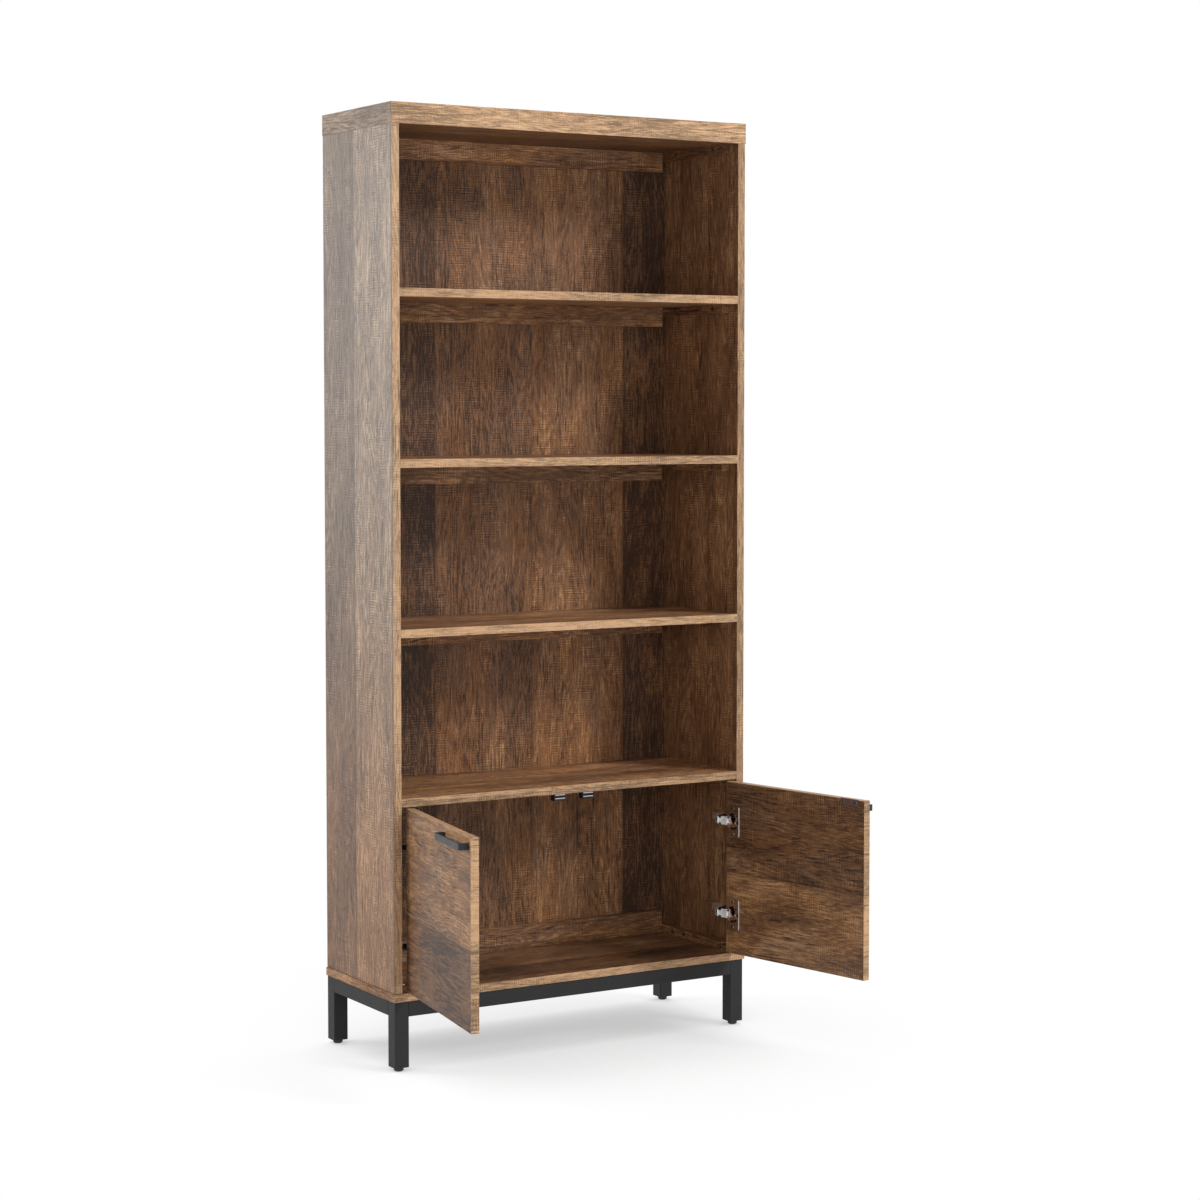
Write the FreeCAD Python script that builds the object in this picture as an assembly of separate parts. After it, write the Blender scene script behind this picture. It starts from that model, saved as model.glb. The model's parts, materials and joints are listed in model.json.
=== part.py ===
import FreeCAD, Part

import os

from FreeCAD import Vector

os.makedirs("parts", exist_ok=True)

# A bookcase with four open compartments over a two-door cabinet, on a square-tube
# base. Millimetres. +Z is up, the front faces -Y and +X is to the right of someone
# who stands in front. The origin is on the floor, under the centre of the carcass.
# The doors are built where they stand at rest: open, as far as their hinges go.

# ---------------------------------------------------------------- driving sizes

# carcass
CARCASS_WIDTH = 794.0        # over the outer faces of the side panels
CARCASS_DEPTH = 297.0        # front edge to rear edge of a side panel
BOARD = 16.0                 # every laminated board except the top and the back
TOP_BOARD = 40.0
TOP_OVERHANG = 1.5           # top board past the carcass, at the sides and front
BOTTOM_OVERHANG = 3.0        # bottom board past the carcass, at the sides and front
BACK_THICKNESS = 5.0
BACK_INSET = 17.5            # rear edge of the side panels to the back panel
CABINET_OPENING = 355.0      # clear height behind the doors
SHELF_OPENING = 305.0        # clear height of each open compartment
OPEN_SHELVES = 3             # loose-standing levels between cabinet shelf and top
EASED_EDGE = 0.8             # bevel on the edges of the top and bottom boards
DOOR_CHAMFER = 0.5

# strips that carry and stiffen the boards
CLEAT_HEIGHT = 17.0
CLEAT_FRONT_SETBACK = 33.0   # front edge of the carcass to the end of a cleat
RAIL_HEIGHT = 40.0           # stiffener under the back edge of each board
FLOOR_RAIL_HEIGHT = 46.0     # the one that stands on the bottom board

# steel base
TUBE = 30.0
TUBE_WALL = 1.5
TUBE_CORNER = 2.0
TUBE_INNER_CORNER = 0.6      # bevel
LEG_HEIGHT = 127.0
GLIDE_DIAMETER = 19.0
GLIDE_HEIGHT = 8.0           # what shows of a glide under its leg
GLIDE_DOME = 2.0             # bevel round its foot
PLUG_HEIGHT = 14.0           # what hides of it inside the leg

# doors
DOOR_SIDE_GAP = 3.0
DOOR_CENTRE_GAP = 4.0
DOOR_END_GAP = 2.5           # above and below
OPEN_ANGLE = {"left": 99.5, "right": 101.2}

# bar handles
HANDLE_LENGTH = 138.0
HANDLE_HEIGHT = 12.0
HANDLE_PROJECTION = 19.0
HANDLE_STRIP = 4.0
HANDLE_BEND = 2.5            # outer radius of the bent strip
HANDLE_FROM_FREE_EDGE = 9.5
HANDLE_FROM_TOP = 16.5       # top of the door to the middle of the bar

# concealed cup hinges
HINGE_FROM_DOOR_END = 80.0
CUP_DIAMETER = 35.0
CUP_DEPTH = 11.5
CUP_WALL = 1.0
CUP_EDGE_DISTANCE = 2.5      # edge of the door to the rim of the cup
FLANGE_LENGTH = 63.0
FLANGE_THICKNESS = 1.2
FLANGE_CORNER = 5.0
FLANGE_SCREW_SPACING = 52.0
CUP_PIN_FROM_CENTRE = 13.5   # towards the hinge edge of the door
CUP_PIN_DEPTH = 3.5          # behind the inner face of the door
ARM_PIN_FROM_CENTRE = 12.4   # away from the hinge edge, door closed
ARM_PIN_DEPTH = 1.7
LINK_TURN = -0.531           # turn of a link for each degree that the door turns
LINK_HEIGHT = 9.0            # at its two eyes
LINK_SHIELD_HEIGHT = 17.0    # of the broad part between them
LINK_THICKNESS = 2.2
LINK_EYE = 4.0
LINK_CRANK = 5.0             # how far a link bows round the rim of the cup
HINGE_PIN = 2.0
ARM_HEIGHT = 13.6
ARM_WALL = 1.5
ARM_TIP = 4.2                # width of the fork that holds the pin
ARM_DEPTH = 6.0              # channel depth where it lies on the mounting plate
ARM_NECK = 6.0               # straight part of the fork, behind the pin
ARM_SHOULDER = (2.0, 13.0)   # outer bend: outboard of the pin, and behind it
ARM_THROAT = (2.0, 8.0)      # inner bend: outboard of the fork, and behind the pin
ARM_BEND = 20.0              # front end of the mounting plate to the rear bend
ARM_HEEL = (9.0, 14.0)       # underside: clear of the plate, ahead of the rear bend
ARM_LIFT_OFF = 6.0           # ahead of the rear bend, where the underside leaves the plate
ARM_END_INSET = 2.0          # rear end of the mounting plate to the end of the arm
PLATE_SETBACK = 28.0         # front edge of the side panel to the mounting plate
PLATE_LENGTH = 50.0
PLATE_HEIGHT = 16.0
PLATE_THICKNESS = 3.0
PLATE_CORNER = 3.0
PLATE_SCREW_INSET = 9.0      # from each end of the plate

# magnetic catches under the cabinet shelf
CATCH_CENTRES = {"left": -24.0, "right": 40.0}
CATCH_LENGTH = 50.0          # over the two fixing ears
CATCH_BODY_LENGTH = 27.0
CATCH_BODY_DEPTH = 13.0
CATCH_BODY_HEIGHT = 16.0
CATCH_EAR = 2.5
CATCH_SCREW_SPACING = 39.0
POLE_THICKNESS = 1.5
POLE_SPACING = 7.0
POLE_END_INSET = 2.5         # end of the body to the end of a pole plate
POLE_IN_BODY = 8.0           # how deep a pole plate goes into the body
POLE_PROUD = 0.5
STRIKE_LENGTH = 46.0
STRIKE_HEIGHT = 13.0
STRIKE_THICKNESS = 1.2
STRIKE_SCREW_SPACING = 31.4
STRIKE_GAP = 0.3             # between pole plates and strike, door closed

# fasteners and fits
DOWEL_DIAMETER = 8.0
DOWEL_LENGTH = 30.0
DOWEL_IN_BOTTOM = 10.0       # how deep a dowel sits in the bottom board
DOWEL_BORE_ROOM = 0.5        # depth left at each end of a dowel
DOWEL_SETBACK = 55.0         # from the front edge and from the back panel
SCREW_HOLE = 3.5
FIT = 0.1                    # clearance round whatever sits in a hole or groove
BORE_FIT = 4 * FIT           # on the diameter of a bore for a dowel or a hinge cup
GROOVE_DEPTH = 5.0
GROOVE_ROOM = 0.5            # depth left at the bottom of the groove

# ------------------------------------------------------------- derived positions

HALF_WIDTH = CARCASS_WIDTH / 2
INNER_HALF = HALF_WIDTH - BOARD
FRONT = -CARCASS_DEPTH / 2
REAR = CARCASS_DEPTH / 2
BACK_REAR = REAR - BACK_INSET
BACK_FRONT = BACK_REAR - BACK_THICKNESS
BASE_TOP = GLIDE_HEIGHT + LEG_HEIGHT
FLOOR_TOP = BASE_TOP + BOARD
CABINET_SHELF_BOTTOM = FLOOR_TOP + CABINET_OPENING
SHELF_BOTTOMS = [
    CABINET_SHELF_BOTTOM + level * (BOARD + SHELF_OPENING)
    for level in range(OPEN_SHELVES + 1)
]
TOP_BOTTOM = SHELF_BOTTOMS[-1] + BOARD + SHELF_OPENING
OVERALL_HEIGHT = TOP_BOTTOM + TOP_BOARD

SHELF_NAMES = ["cabinet_shelf", "lower_shelf", "middle_shelf", "upper_shelf"]
SIDES = ("left", "right")

CLEAT_INNER = INNER_HALF - BOARD
CLEAT_FRONT = FRONT + CLEAT_FRONT_SETBACK
RAIL_FRONT = BACK_FRONT - BOARD

DOOR_WIDTH = INNER_HALF - DOOR_SIDE_GAP - DOOR_CENTRE_GAP / 2
DOOR_BOTTOM = FLOOR_TOP + DOOR_END_GAP
DOOR_TOP = CABINET_SHELF_BOTTOM - DOOR_END_GAP
HINGE_HEIGHTS = (DOOR_BOTTOM + HINGE_FROM_DOOR_END, DOOR_TOP - HINGE_FROM_DOOR_END)

# Door hardware is laid out from the side panel's inner face at the front edge:
# u runs inboard, v runs forward, and z runs up from the floor. A closed door
# lies between v = -BOARD and v = 0.
DOOR_HINGE_EDGE = DOOR_SIDE_GAP
DOOR_FREE_EDGE = DOOR_SIDE_GAP + DOOR_WIDTH
CUP_CENTRE = DOOR_HINGE_EDGE + CUP_EDGE_DISTANCE + CUP_DIAMETER / 2
HANDLE_CENTRE = DOOR_FREE_EDGE - HANDLE_FROM_FREE_EDGE - HANDLE_LENGTH / 2
HANDLE_Z = DOOR_TOP - HANDLE_FROM_TOP
STRIKE_Z = CABINET_SHELF_BOTTOM - CATCH_BODY_HEIGHT / 2
CUP_PIN = Vector(CUP_CENTRE - CUP_PIN_FROM_CENTRE, CUP_PIN_DEPTH - BOARD, 0)
ARM_PIN = Vector(CUP_CENTRE + ARM_PIN_FROM_CENTRE, ARM_PIN_DEPTH - BOARD, 0)

X_AXIS = Vector(1, 0, 0)
Y_AXIS = Vector(0, 1, 0)
Z_AXIS = Vector(0, 0, 1)

nodes = {}


# -------------------------------------------------------------------- helpers

def block(x_span, y_span, z_span):
    """A box from its three (low, high) spans."""
    corner = Vector(x_span[0], y_span[0], z_span[0])
    return Part.makeBox(
        x_span[1] - x_span[0], y_span[1] - y_span[0], z_span[1] - z_span[0], corner
    )


def rod(diameter, length, start, direction):
    return Part.makeCylinder(diameter / 2, length, start, direction)


def turned(profile, start, direction):
    """Revolve (radius, distance) points about an axis that leaves start."""
    points = [Vector(radius, 0, along) for radius, along in profile]
    face = Part.Face(Part.makePolygon(points + points[:1]))
    solid = face.revolve(Vector(0, 0, 0), Z_AXIS, 360)
    solid.Placement = FreeCAD.Placement(start, FreeCAD.Rotation(Z_AXIS, direction))
    return solid


def extruded(points, z_span):
    """A prism on the XY outline points, over a span of Z."""
    corners = [Vector(x, y, z_span[0]) for x, y in points]
    face = Part.Face(Part.makePolygon(corners + corners[:1]))
    return face.extrude(Vector(0, 0, z_span[1] - z_span[0]))


def edges_along(shape, axis):
    """Straight edges of a shape that run along an axis."""
    found = []
    for edge in shape.Edges:
        if len(edge.Vertexes) != 2:
            continue
        run = edge.Vertexes[1].Point - edge.Vertexes[0].Point
        if run.Length > 0 and abs(abs(run.normalize() * axis) - 1) < 1e-6:
            found.append(edge)
    return found


def eased(shape, bevel=EASED_EDGE):
    return shape.makeChamfer(bevel, shape.Edges)


def mirrored(shape):
    return shape.mirror(Vector(0, 0, 0), X_AXIS)


def drilled(shape, places, direction, depth):
    """Cut a screw hole through a plate at each place, from just outside its face."""
    starts = [place - direction for place in places]
    return shape.cut([rod(SCREW_HOLE, depth + 2, start, direction) for start in starts])


# ---------------------------------------------------------------------- boards

def dowel_places():
    """Y positions of the dowels in each end of a side panel."""
    return (FRONT + DOWEL_SETBACK, BACK_FRONT - DOWEL_SETBACK)


def dowel_set(extra_diameter=0.0, extra_length=0.0):
    """Dowels that locate the side panels on the bottom board and under the top."""
    found = []
    length = DOWEL_LENGTH + 2 * extra_length
    for x in (-HALF_WIDTH + BOARD / 2, HALF_WIDTH - BOARD / 2):
        for y in dowel_places():
            low = Vector(x, y, FLOOR_TOP - DOWEL_IN_BOTTOM - extra_length)
            high = Vector(x, y, TOP_BOTTOM - DOWEL_LENGTH / 2 - extra_length)
            for start in (low, high):
                found.append(rod(DOWEL_DIAMETER + extra_diameter, length, start, Z_AXIS))
    return found


def back_slab(reach, clearance):
    """The thin back, or the groove for it, reaching into the boards all round."""
    return block(
        (-INNER_HALF - reach, INNER_HALF + reach),
        (BACK_FRONT - clearance, BACK_REAR + clearance),
        (FLOOR_TOP - reach, TOP_BOTTOM + reach),
    )


def top_board():
    board = block(
        (-HALF_WIDTH - TOP_OVERHANG, HALF_WIDTH + TOP_OVERHANG),
        (FRONT - TOP_OVERHANG, REAR),
        (TOP_BOTTOM, OVERALL_HEIGHT),
    )
    return eased(board)


def bottom_board():
    board = block(
        (-HALF_WIDTH - BOTTOM_OVERHANG, HALF_WIDTH + BOTTOM_OVERHANG),
        (FRONT - BOTTOM_OVERHANG, REAR),
        (BASE_TOP, FLOOR_TOP),
    )
    return eased(board)


def side_panel(side):
    panel = block((INNER_HALF, HALF_WIDTH), (FRONT, REAR), (FLOOR_TOP, TOP_BOTTOM))
    return panel if side == "right" else mirrored(panel)


def shelf(bottom):
    return block((-INNER_HALF, INNER_HALF), (FRONT, BACK_FRONT), (bottom, bottom + BOARD))


def back_rail(z_span):
    return block((-CLEAT_INNER, CLEAT_INNER), (RAIL_FRONT, BACK_FRONT), z_span)


# ---------------------------------------------------------------------- cleats

def build_cleats():
    """A pair of cleats on the bottom board, under each shelf and under the top."""
    lows = {"floor": FLOOR_TOP, "top": TOP_BOTTOM - CLEAT_HEIGHT}
    for name, bottom in zip(SHELF_NAMES, SHELF_BOTTOMS):
        lows[name] = bottom - CLEAT_HEIGHT
    for name, low in lows.items():
        cleat = block(
            (CLEAT_INNER, INNER_HALF), (CLEAT_FRONT, BACK_FRONT), (low, low + CLEAT_HEIGHT)
        )
        nodes[name + "_cleats"] = [mirrored(cleat), cleat]


# ------------------------------------------------------------------ steel base

def square_tube(length):
    """A tube with rounded corners, standing on the origin along Z."""
    half = TUBE / 2
    hollow = half - TUBE_WALL
    outer = block((-half, half), (-half, half), (0, length))
    inner = block((-hollow, hollow), (-hollow, hollow), (0, length))
    outer = outer.makeFillet(TUBE_CORNER, edges_along(outer, Z_AXIS))
    return outer.cut(inner.makeChamfer(TUBE_INNER_CORNER, edges_along(inner, Z_AXIS)))


def leg_places():
    x = HALF_WIDTH - TUBE / 2
    y = CARCASS_DEPTH / 2 - TUBE / 2
    return {
        "front_left_leg": (-x, -y),
        "front_right_leg": (x, -y),
        "back_left_leg": (-x, y),
        "back_right_leg": (x, y),
    }


def build_base():
    """Four legs, four rails between their heads, and a glide under each leg."""
    for name, (x, y) in leg_places().items():
        leg = square_tube(LEG_HEIGHT)
        leg.translate(Vector(x, y, GLIDE_HEIGHT))
        nodes[name] = leg
    rail_z = BASE_TOP - TUBE / 2
    long_rail = square_tube(CARCASS_WIDTH - 2 * TUBE)
    long_rail.rotate(Vector(0, 0, 0), Y_AXIS, 90)
    long_rail.translate(Vector(TUBE - HALF_WIDTH, 0, rail_z))
    short_rail = square_tube(CARCASS_DEPTH - 2 * TUBE)
    short_rail.rotate(Vector(0, 0, 0), X_AXIS, -90)
    short_rail.translate(Vector(0, FRONT + TUBE, rail_z))
    for name, y in (("front", FRONT + TUBE / 2), ("back", REAR - TUBE / 2)):
        rail = long_rail.copy()
        rail.translate(Vector(0, y, 0))
        nodes[name + "_base_rail"] = rail
    for name, x in (("left", TUBE / 2 - HALF_WIDTH), ("right", HALF_WIDTH - TUBE / 2)):
        rail = short_rail.copy()
        rail.translate(Vector(x, 0, 0))
        nodes[name + "_base_rail"] = rail
    nodes["leg_glides"] = [glide(x, y) for x, y in leg_places().values()]


def glide(x, y):
    """A push-in glide: a domed foot under a square plug that fills the tube's end."""
    radius = GLIDE_DIAMETER / 2
    foot = turned(
        [
            (0, 0),
            (radius - GLIDE_DOME, 0),
            (radius, GLIDE_DOME),
            (radius, GLIDE_HEIGHT),
            (0, GLIDE_HEIGHT),
        ],
        Vector(x, y, 0),
        Z_AXIS,
    )
    half = TUBE / 2 - TUBE_WALL - FIT
    plug = block(
        (x - half, x + half), (y - half, y + half), (GLIDE_HEIGHT, GLIDE_HEIGHT + PLUG_HEIGHT)
    )
    plug = plug.makeChamfer(TUBE_INNER_CORNER + FIT, edges_along(plug, Z_AXIS))
    return foot.fuse(plug).removeSplitter()


# ----------------------------------------------------------------------- doors

def seat_on_side(shape, side):
    """Move a shape from the (u, v, z) layout to the left or right of the carcass."""
    placed = shape.copy()
    placed.rotate(Vector(0, 0, 0), Z_AXIS, 180)
    placed.translate(Vector(INNER_HALF, FRONT, 0))
    return placed if side == "right" else mirrored(placed)


def swung_link(shape, side):
    """Turn a link about its arm pin from closed to the open stop, then seat it."""
    turned_out = shape.copy()
    turned_out.rotate(ARM_PIN, Z_AXIS, LINK_TURN * OPEN_ANGLE[side])
    return seat_on_side(turned_out, side)


def swung_open(shape, side):
    """Carry what is on a door from closed to the open stop, then seat it.

    The links carry the cup pins round the arm pins while the door turns about
    the cup pins.
    """
    link_turn = FreeCAD.Rotation(Z_AXIS, LINK_TURN * OPEN_ANGLE[side])
    carried_pin = ARM_PIN + link_turn.multVec(CUP_PIN - ARM_PIN)
    turned_out = shape.copy()
    turned_out.rotate(CUP_PIN, Z_AXIS, OPEN_ANGLE[side])
    turned_out.translate(carried_pin - CUP_PIN)
    return seat_on_side(turned_out, side)


def door_slab():
    """A closed door with the bores for its hinge cups."""
    slab = block((DOOR_HINGE_EDGE, DOOR_FREE_EDGE), (-BOARD, 0), (DOOR_BOTTOM, DOOR_TOP))
    slab = slab.makeChamfer(DOOR_CHAMFER, slab.Edges)
    bores = [
        rod(CUP_DIAMETER + BORE_FIT, CUP_DEPTH + FIT, Vector(CUP_CENTRE, -BOARD, z), Y_AXIS)
        for z in HINGE_HEIGHTS
    ]
    return slab.cut(bores)


def bar_handle():
    """A flat strip bent to a shallow bracket, with a finger gap behind it."""
    low = HANDLE_CENTRE - HANDLE_LENGTH / 2
    high = HANDLE_CENTRE + HANDLE_LENGTH / 2
    z_span = (HANDLE_Z - HANDLE_HEIGHT / 2, HANDLE_Z + HANDLE_HEIGHT / 2)
    outer = block((low, high), (0, HANDLE_PROJECTION), z_span)
    corners = [
        edge
        for edge in edges_along(outer, Z_AXIS)
        if edge.CenterOfMass.y > HANDLE_PROJECTION / 2
    ]
    outer = outer.makeFillet(HANDLE_BEND, corners)
    gap = block(
        (low + HANDLE_STRIP, high - HANDLE_STRIP),
        (-1, HANDLE_PROJECTION - HANDLE_STRIP),
        z_span,
    )
    return outer.cut(gap)


def hinge_cup(z):
    """The pressed cup that is let into the door, with its screwed flange."""
    centre = Vector(CUP_CENTRE, -BOARD, z)
    cup = rod(CUP_DIAMETER, CUP_DEPTH, centre, Y_AXIS)
    flange = block(
        (CUP_CENTRE - CUP_DIAMETER / 2, CUP_CENTRE + CUP_DIAMETER / 2),
        (-BOARD - FLANGE_THICKNESS, -BOARD),
        (z - FLANGE_LENGTH / 2, z + FLANGE_LENGTH / 2),
    )
    flange = flange.makeFillet(FLANGE_CORNER, edges_along(flange, Y_AXIS))
    mouth = Vector(CUP_CENTRE, -BOARD - FLANGE_THICKNESS, z)
    screws = [mouth + Z_AXIS * (up * FLANGE_SCREW_SPACING / 2) for up in (-1, 1)]
    flange = drilled(flange, screws, Y_AXIS, FLANGE_THICKNESS)
    hollow_depth = CUP_DEPTH + FLANGE_THICKNESS - CUP_WALL
    hollow = rod(CUP_DIAMETER - 2 * CUP_WALL, hollow_depth, mouth, Y_AXIS)
    return cup.fuse(flange).cut(hollow).removeSplitter()


def pin_hole(pin, z_span, clearance=FIT / 2):
    """The bore in which a hinge pin turns."""
    start = Vector(pin.x, pin.y, z_span[0] - 1)
    return rod(HINGE_PIN + 2 * clearance, z_span[1] - z_span[0] + 2, start, Z_AXIS)


def hinge_arm(z):
    """The cranked channel from the mounting plate to the fork that holds a pin."""
    half = ARM_HEIGHT / 2
    tip = ARM_TIP / 2
    rear = ARM_END_INSET - PLATE_SETBACK - PLATE_LENGTH
    bend = -PLATE_SETBACK - ARM_BEND
    inner = PLATE_THICKNESS
    outer = inner + ARM_DEPTH
    neck = ARM_PIN.y - ARM_NECK
    shoulder = (ARM_PIN.x - ARM_SHOULDER[0], ARM_PIN.y - ARM_SHOULDER[1])
    outline = [
        (outer, rear),
        (outer, bend),
        shoulder,
        (ARM_PIN.x + tip, neck),
        (ARM_PIN.x + tip, ARM_PIN.y),
        (ARM_PIN.x - tip, ARM_PIN.y),
        (ARM_PIN.x - tip - ARM_THROAT[0], ARM_PIN.y - ARM_THROAT[1]),
        (inner + ARM_HEEL[0], bend + ARM_HEEL[1]),
        (inner, bend + ARM_LIFT_OFF),
        (inner, rear),
    ]
    channel = [
        (outer - ARM_WALL, rear - 1),
        (outer - ARM_WALL, bend - 0.4 * ARM_WALL),
        (shoulder[0] - 0.6 * ARM_WALL, shoulder[1] - 0.4 * ARM_WALL),
        (ARM_PIN.x + tip - ARM_WALL, neck),
        (ARM_PIN.x + tip + 1, neck),
        (ARM_PIN.x + tip + 1, ARM_PIN.y + tip + 1),
        (inner - 1, ARM_PIN.y + tip + 1),
        (inner - 1, rear - 1),
    ]
    cheeks = (z - half, z + half)
    gap = (z - half + ARM_WALL, z + half - ARM_WALL)
    nose = rod(ARM_TIP, ARM_HEIGHT, Vector(ARM_PIN.x, ARM_PIN.y, z - half), Z_AXIS)
    arm = extruded(outline, cheeks).fuse(nose)
    arm = arm.cut([extruded(channel, gap), pin_hole(ARM_PIN, cheeks)])
    return arm.removeSplitter()


# The centre line of a link: parts of the way from the cup pin to the arm pin, and
# parts of the crank. Its broad part lies between two of these points.
LINK_BOW = [
    (0.0, 0.0),
    (0.015, 0.6),
    (0.05, 0.92),
    (0.12, 1.0),
    (0.2, 0.98),
    (0.31, 0.8),
    (0.46, 0.45),
    (0.7, 0.12),
    (1.0, 0.0),
]
LINK_SHIELD = (3, 7)


def strip_outline(points, thickness):
    """Both sides of a bent strip that follows a centre line."""
    left = []
    right = []
    for i, point in enumerate(points):
        before = points[max(i - 1, 0)]
        after = points[min(i + 1, len(points) - 1)]
        run = (after - before).normalize()
        across = Vector(-run.y, run.x, 0) * (thickness / 2)
        left.append(point + across)
        right.append(point - across)
    return [(corner.x, corner.y) for corner in left + right[::-1]]


def hinge_link(z):
    """The goose-necked link from the arm's pin to the cup's pin, door closed."""
    reach = ARM_PIN - CUP_PIN
    along = Vector(reach).normalize()
    aside = Vector(-along.y, along.x, 0)
    centre_line = [
        CUP_PIN + along * (reach.Length * part) + aside * (LINK_CRANK * rise)
        for part, rise in LINK_BOW
    ]
    z_span = (z - LINK_HEIGHT / 2, z + LINK_HEIGHT / 2)
    shield_span = (z - LINK_SHIELD_HEIGHT / 2, z + LINK_SHIELD_HEIGHT / 2)
    shield_line = centre_line[LINK_SHIELD[0]:LINK_SHIELD[1] + 1]
    link = extruded(strip_outline(centre_line, LINK_THICKNESS), z_span)
    link = link.fuse(extruded(strip_outline(shield_line, LINK_THICKNESS), shield_span))
    for pin in (CUP_PIN, ARM_PIN):
        eye = rod(LINK_EYE, LINK_HEIGHT, Vector(pin.x, pin.y, z_span[0]), Z_AXIS)
        link = link.fuse(eye)
    link = link.cut([pin_hole(pin, z_span) for pin in (CUP_PIN, ARM_PIN)])
    return link.removeSplitter()


def cup_pin(z):
    """The pin across the near side of the cup, as long as the cup is wide there."""
    inner_radius = CUP_DIAMETER / 2 - CUP_WALL
    offset = CUP_PIN_FROM_CENTRE + HINGE_PIN / 2
    half = (inner_radius ** 2 - offset ** 2) ** 0.5 - FIT
    return rod(HINGE_PIN, 2 * half, Vector(CUP_PIN.x, CUP_PIN.y, z - half), Z_AXIS)


def arm_pin(z):
    half = ARM_HEIGHT / 2
    return rod(HINGE_PIN, ARM_HEIGHT, Vector(ARM_PIN.x, ARM_PIN.y, z - half), Z_AXIS)


def mounting_plate(z):
    """The plate that is screwed to the side panel and carries the arm."""
    half = PLATE_HEIGHT / 2
    rear = -PLATE_SETBACK - PLATE_LENGTH
    plate = block((0, PLATE_THICKNESS), (rear, -PLATE_SETBACK), (z - half, z + half))
    plate = plate.makeFillet(PLATE_CORNER, edges_along(plate, X_AXIS))
    ends = (rear + PLATE_SCREW_INSET, -PLATE_SETBACK - PLATE_SCREW_INSET)
    screws = [Vector(0, v, z) for v in ends]
    return drilled(plate, screws, X_AXIS, PLATE_THICKNESS)


def strike_plate(side):
    """The steel plate on the inner face of a door that meets the magnet."""
    centre = INNER_HALF - abs(CATCH_CENTRES[side])
    half = STRIKE_LENGTH / 2
    plate = block(
        (centre - half, centre + half),
        (-BOARD - STRIKE_THICKNESS, -BOARD),
        (STRIKE_Z - STRIKE_HEIGHT / 2, STRIKE_Z + STRIKE_HEIGHT / 2),
    )
    screws = [
        Vector(centre + aside * STRIKE_SCREW_SPACING / 2, -BOARD - STRIKE_THICKNESS, STRIKE_Z)
        for aside in (-1, 1)
    ]
    return drilled(plate, screws, Y_AXIS, STRIKE_THICKNESS)


def build_doors():
    """Both doors with what they carry, swung open, and their fixed hinge halves."""
    slab = door_slab()
    handle = bar_handle()
    cups = [hinge_cup(z) for z in HINGE_HEIGHTS]
    cup_pins = [cup_pin(z) for z in HINGE_HEIGHTS]
    links = [hinge_link(z) for z in HINGE_HEIGHTS]
    arms = [hinge_arm(z) for z in HINGE_HEIGHTS]
    arm_pins = [arm_pin(z) for z in HINGE_HEIGHTS]
    plates = [mounting_plate(z) for z in HINGE_HEIGHTS]
    for side in SIDES:
        nodes[side + "_door"] = swung_open(slab, side)
        nodes[side + "_handle"] = swung_open(handle, side)
        nodes[side + "_hinge_cups"] = [swung_open(cup, side) for cup in cups]
        nodes[side + "_cup_pins"] = [swung_open(pin, side) for pin in cup_pins]
        nodes[side + "_strike_plate"] = swung_open(strike_plate(side), side)
        nodes[side + "_hinge_links"] = [swung_link(link, side) for link in links]
        nodes[side + "_hinge_arms"] = [seat_on_side(arm, side) for arm in arms]
        nodes[side + "_arm_pins"] = [seat_on_side(pin, side) for pin in arm_pins]
        nodes[side + "_hinge_plates"] = [seat_on_side(plate, side) for plate in plates]


# --------------------------------------------------------------------- catches

def catch_faces():
    """Y of the strike face of a closed door, and of the front of a catch body."""
    strike_face = FRONT + BOARD + STRIKE_THICKNESS
    poles = strike_face + STRIKE_GAP
    return poles, poles + POLE_PROUD


def catch_housing(centre):
    """A plastic magnet housing with two fixing ears, hung under the shelf."""
    body_front = catch_faces()[1]
    depth = (body_front, body_front + CATCH_BODY_DEPTH)
    half = CATCH_BODY_LENGTH / 2
    low = CABINET_SHELF_BOTTOM - CATCH_BODY_HEIGHT
    body = block((centre - half, centre + half), depth, (low, CABINET_SHELF_BOTTOM))
    reach = CATCH_LENGTH / 2
    ears = block(
        (centre - reach, centre + reach),
        depth,
        (CABINET_SHELF_BOTTOM - CATCH_EAR, CABINET_SHELF_BOTTOM),
    )
    ears_middle = (depth[0] + depth[1]) / 2
    screws = [
        Vector(centre + aside * CATCH_SCREW_SPACING / 2, ears_middle, CABINET_SHELF_BOTTOM - CATCH_EAR)
        for aside in (-1, 1)
    ]
    housing = drilled(body.fuse(ears).removeSplitter(), screws, Z_AXIS, CATCH_EAR)
    return housing.cut(catch_poles(centre, FIT))


def catch_poles(centre, clearance=0.0):
    """Two steel pole plates, one above the other, that stand proud of the front."""
    face = catch_faces()[0]
    half = CATCH_BODY_LENGTH / 2 - POLE_END_INSET
    middle = CABINET_SHELF_BOTTOM - CATCH_BODY_HEIGHT / 2
    plates = []
    for offset in (-POLE_SPACING / 2, POLE_SPACING / 2):
        low = middle + offset - POLE_THICKNESS / 2 - clearance
        plates.append(
            block(
                (centre - half - clearance, centre + half + clearance),
                (face, face + POLE_PROUD + POLE_IN_BODY + clearance),
                (low, low + POLE_THICKNESS + 2 * clearance),
            )
        )
    return plates


def build_catches():
    centres = [CATCH_CENTRES[side] for side in SIDES]
    nodes["catch_housings"] = [catch_housing(centre) for centre in centres]
    nodes["catch_pole_plates"] = [
        plate for centre in centres for plate in catch_poles(centre)
    ]


# -------------------------------------------------------------------- assembly

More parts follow.
